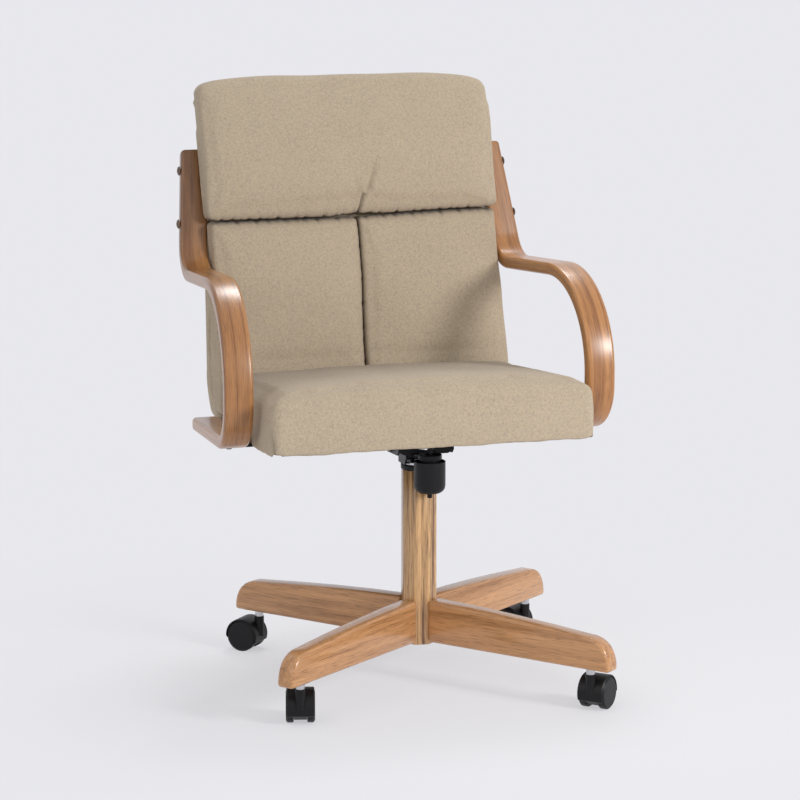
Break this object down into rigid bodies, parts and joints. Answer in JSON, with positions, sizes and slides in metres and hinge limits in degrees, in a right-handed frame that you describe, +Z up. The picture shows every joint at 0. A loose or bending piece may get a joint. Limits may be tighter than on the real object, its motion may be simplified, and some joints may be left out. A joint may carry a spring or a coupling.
{
  "type": "swivel armchair",
  "caption": "Swivel armchair with padded fabric seat and back, bentwood loop arms, sprung tilt, and an oak pedestal with crossed legs on twin-wheel casters.",
  "frame": {"origin": "on the floor, on the axis of the pedestal's column, about which the seat swivels", "axes": "+Z up along the column's axis, -Y the way the seat faces, +X to the right of someone who looks at the chair's front"},
  "size_m": [0.63, 0.7533, 0.9186],
  "materials": {
    "oak": "clear gloss lacquer over warm brown oak",
    "plywood": "bare plywood, hidden inside the upholstery",
    "upholstery": "woven beige cloth over foam",
    "black_cloth": "thin black lining cloth",
    "black_plastic": "black moulded plastic",
    "black_steel": "black enamelled steel",
    "bright_steel": "plated steel"
  },
  "bodies": {
    "base": {"column": "oak", "leg_a": "oak", "leg_b": "oak", "leg_c": "oak", "leg_d": "oak", "column_ring": "black_plastic", "bearing_plate": "bright_steel", "swivel_spindle": "bright_steel", "spindle_nut": "bright_steel"},
    "turntable": {"yoke": "black_steel"},
    "seat": {"pivot_pin": "black_steel", "seat_plate": "black_steel", "tension_bolt": "black_steel", "tension_spring": "bright_steel", "seat_board": "plywood", "dust_cover": "black_cloth", "seat_cushion": "upholstery", "arm_left": "oak", "arm_right": "oak", "arm_bolt_left_upper": "black_steel", "arm_bolt_left_lower": "black_steel", "arm_bolt_right_upper": "black_steel", "arm_bolt_right_lower": "black_steel", "arm_bar_front": "black_steel", "arm_bar_rear": "black_steel", "arm_screw_left_front": "black_steel", "arm_screw_left_rear": "black_steel", "arm_screw_right_front": "black_steel", "arm_screw_right_rear": "black_steel", "back_board": "plywood", "back_shell": "upholstery", "back_pad_left": "upholstery", "back_pad_right": "upholstery", "back_pillow": "upholstery", "back_bracket_left": "bright_steel", "back_bracket_right": "bright_steel"},
    "knob": {"tension_knob": "black_plastic"},
    "caster_a": {"caster_stem_a": "bright_steel", "caster_hood_a": "black_plastic", "caster_axle_a": "bright_steel"},
    "caster_b": {"caster_stem_b": "bright_steel", "caster_hood_b": "black_plastic", "caster_axle_b": "bright_steel"},
    "caster_c": {"caster_stem_c": "bright_steel", "caster_hood_c": "black_plastic", "caster_axle_c": "bright_steel"},
    "caster_d": {"caster_stem_d": "bright_steel", "caster_hood_d": "black_plastic", "caster_axle_d": "bright_steel"},
    "wheel_a_left": {"caster_wheel_a_left": "black_plastic"},
    "wheel_a_right": {"caster_wheel_a_right": "black_plastic"},
    "wheel_b_left": {"caster_wheel_b_left": "black_plastic"},
    "wheel_b_right": {"caster_wheel_b_right": "black_plastic"},
    "wheel_c_left": {"caster_wheel_c_left": "black_plastic"},
    "wheel_c_right": {"caster_wheel_c_right": "black_plastic"},
    "wheel_d_left": {"caster_wheel_d_left": "black_plastic"},
    "wheel_d_right": {"caster_wheel_d_right": "black_plastic"}
  },
  "joints": [
    {"name": "seat_swivel", "type": "hinge", "parent": "base", "child": "turntable", "pos_m": [0, 0, 0.3576], "axis": [0, 0, 1], "continuous": true},
    {"name": "seat_tilt", "type": "hinge", "parent": "turntable", "child": "seat", "pos_m": [0, 0, 0.3726], "axis": [-1, 0, 0], "range_deg": [0, 10], "stiffness_Nm_per_rad": 160, "springref_deg": -20.05, "deforming": ["tension_spring"]},
    {"name": "knob_turn", "type": "hinge", "parent": "seat", "child": "knob", "pos_m": [0, -0.0537, 0.335], "axis": [0, 0, 1], "range_deg": [-180, 180]},
    {"name": "caster_a_swivel", "type": "hinge", "parent": "base", "child": "caster_a", "pos_m": [-0.24685, -0.19244, 0.0667], "axis": [0, 0, 1], "continuous": true},
    {"name": "caster_b_swivel", "type": "hinge", "parent": "base", "child": "caster_b", "pos_m": [0.19244, -0.24685, 0.0667], "axis": [0, 0, 1], "continuous": true},
    {"name": "caster_c_swivel", "type": "hinge", "parent": "base", "child": "caster_c", "pos_m": [-0.19244, 0.24685, 0.0667], "axis": [0, 0, 1], "continuous": true},
    {"name": "caster_d_swivel", "type": "hinge", "parent": "base", "child": "caster_d", "pos_m": [0.24685, 0.19244, 0.0667], "axis": [0, 0, 1], "continuous": true},
    {"name": "wheel_a_left_spin", "type": "hinge", "parent": "caster_a", "child": "wheel_a_left", "pos_m": [-0.25584, -0.1655, 0.025], "axis": [0.9627, -0.2706, 0], "continuous": true},
    {"name": "wheel_a_right_spin", "type": "hinge", "parent": "caster_a", "child": "wheel_a_right", "pos_m": [-0.22514, -0.17414, 0.025], "axis": [0.9627, -0.2706, 0], "continuous": true},
    {"name": "wheel_b_left_spin", "type": "hinge", "parent": "caster_b", "child": "wheel_b_left", "pos_m": [0.19866, -0.21913, 0.025], "axis": [0.6845, -0.729, 0], "continuous": true},
    {"name": "wheel_b_right_spin", "type": "hinge", "parent": "caster_b", "child": "wheel_b_right", "pos_m": [0.22049, -0.24239, 0.025], "axis": [0.6845, -0.729, 0], "continuous": true},
    {"name": "wheel_c_left_spin", "type": "hinge", "parent": "caster_c", "child": "wheel_c_left", "pos_m": [-0.22051, 0.25121, 0.025], "axis": [0.682, 0.7314, 0], "continuous": true},
    {"name": "wheel_c_right_spin", "type": "hinge", "parent": "caster_c", "child": "wheel_c_right", "pos_m": [-0.19875, 0.27454, 0.025], "axis": [0.682, 0.7314, 0], "continuous": true},
    {"name": "wheel_d_left_spin", "type": "hinge", "parent": "caster_d", "child": "wheel_d_left", "pos_m": [0.21954, 0.20024, 0.025], "axis": [0.7672, 0.6414, 0], "continuous": true},
    {"name": "wheel_d_right_spin", "type": "hinge", "parent": "caster_d", "child": "wheel_d_right", "pos_m": [0.24401, 0.2207, 0.025], "axis": [0.7672, 0.6414, 0], "continuous": true}
  ]
}
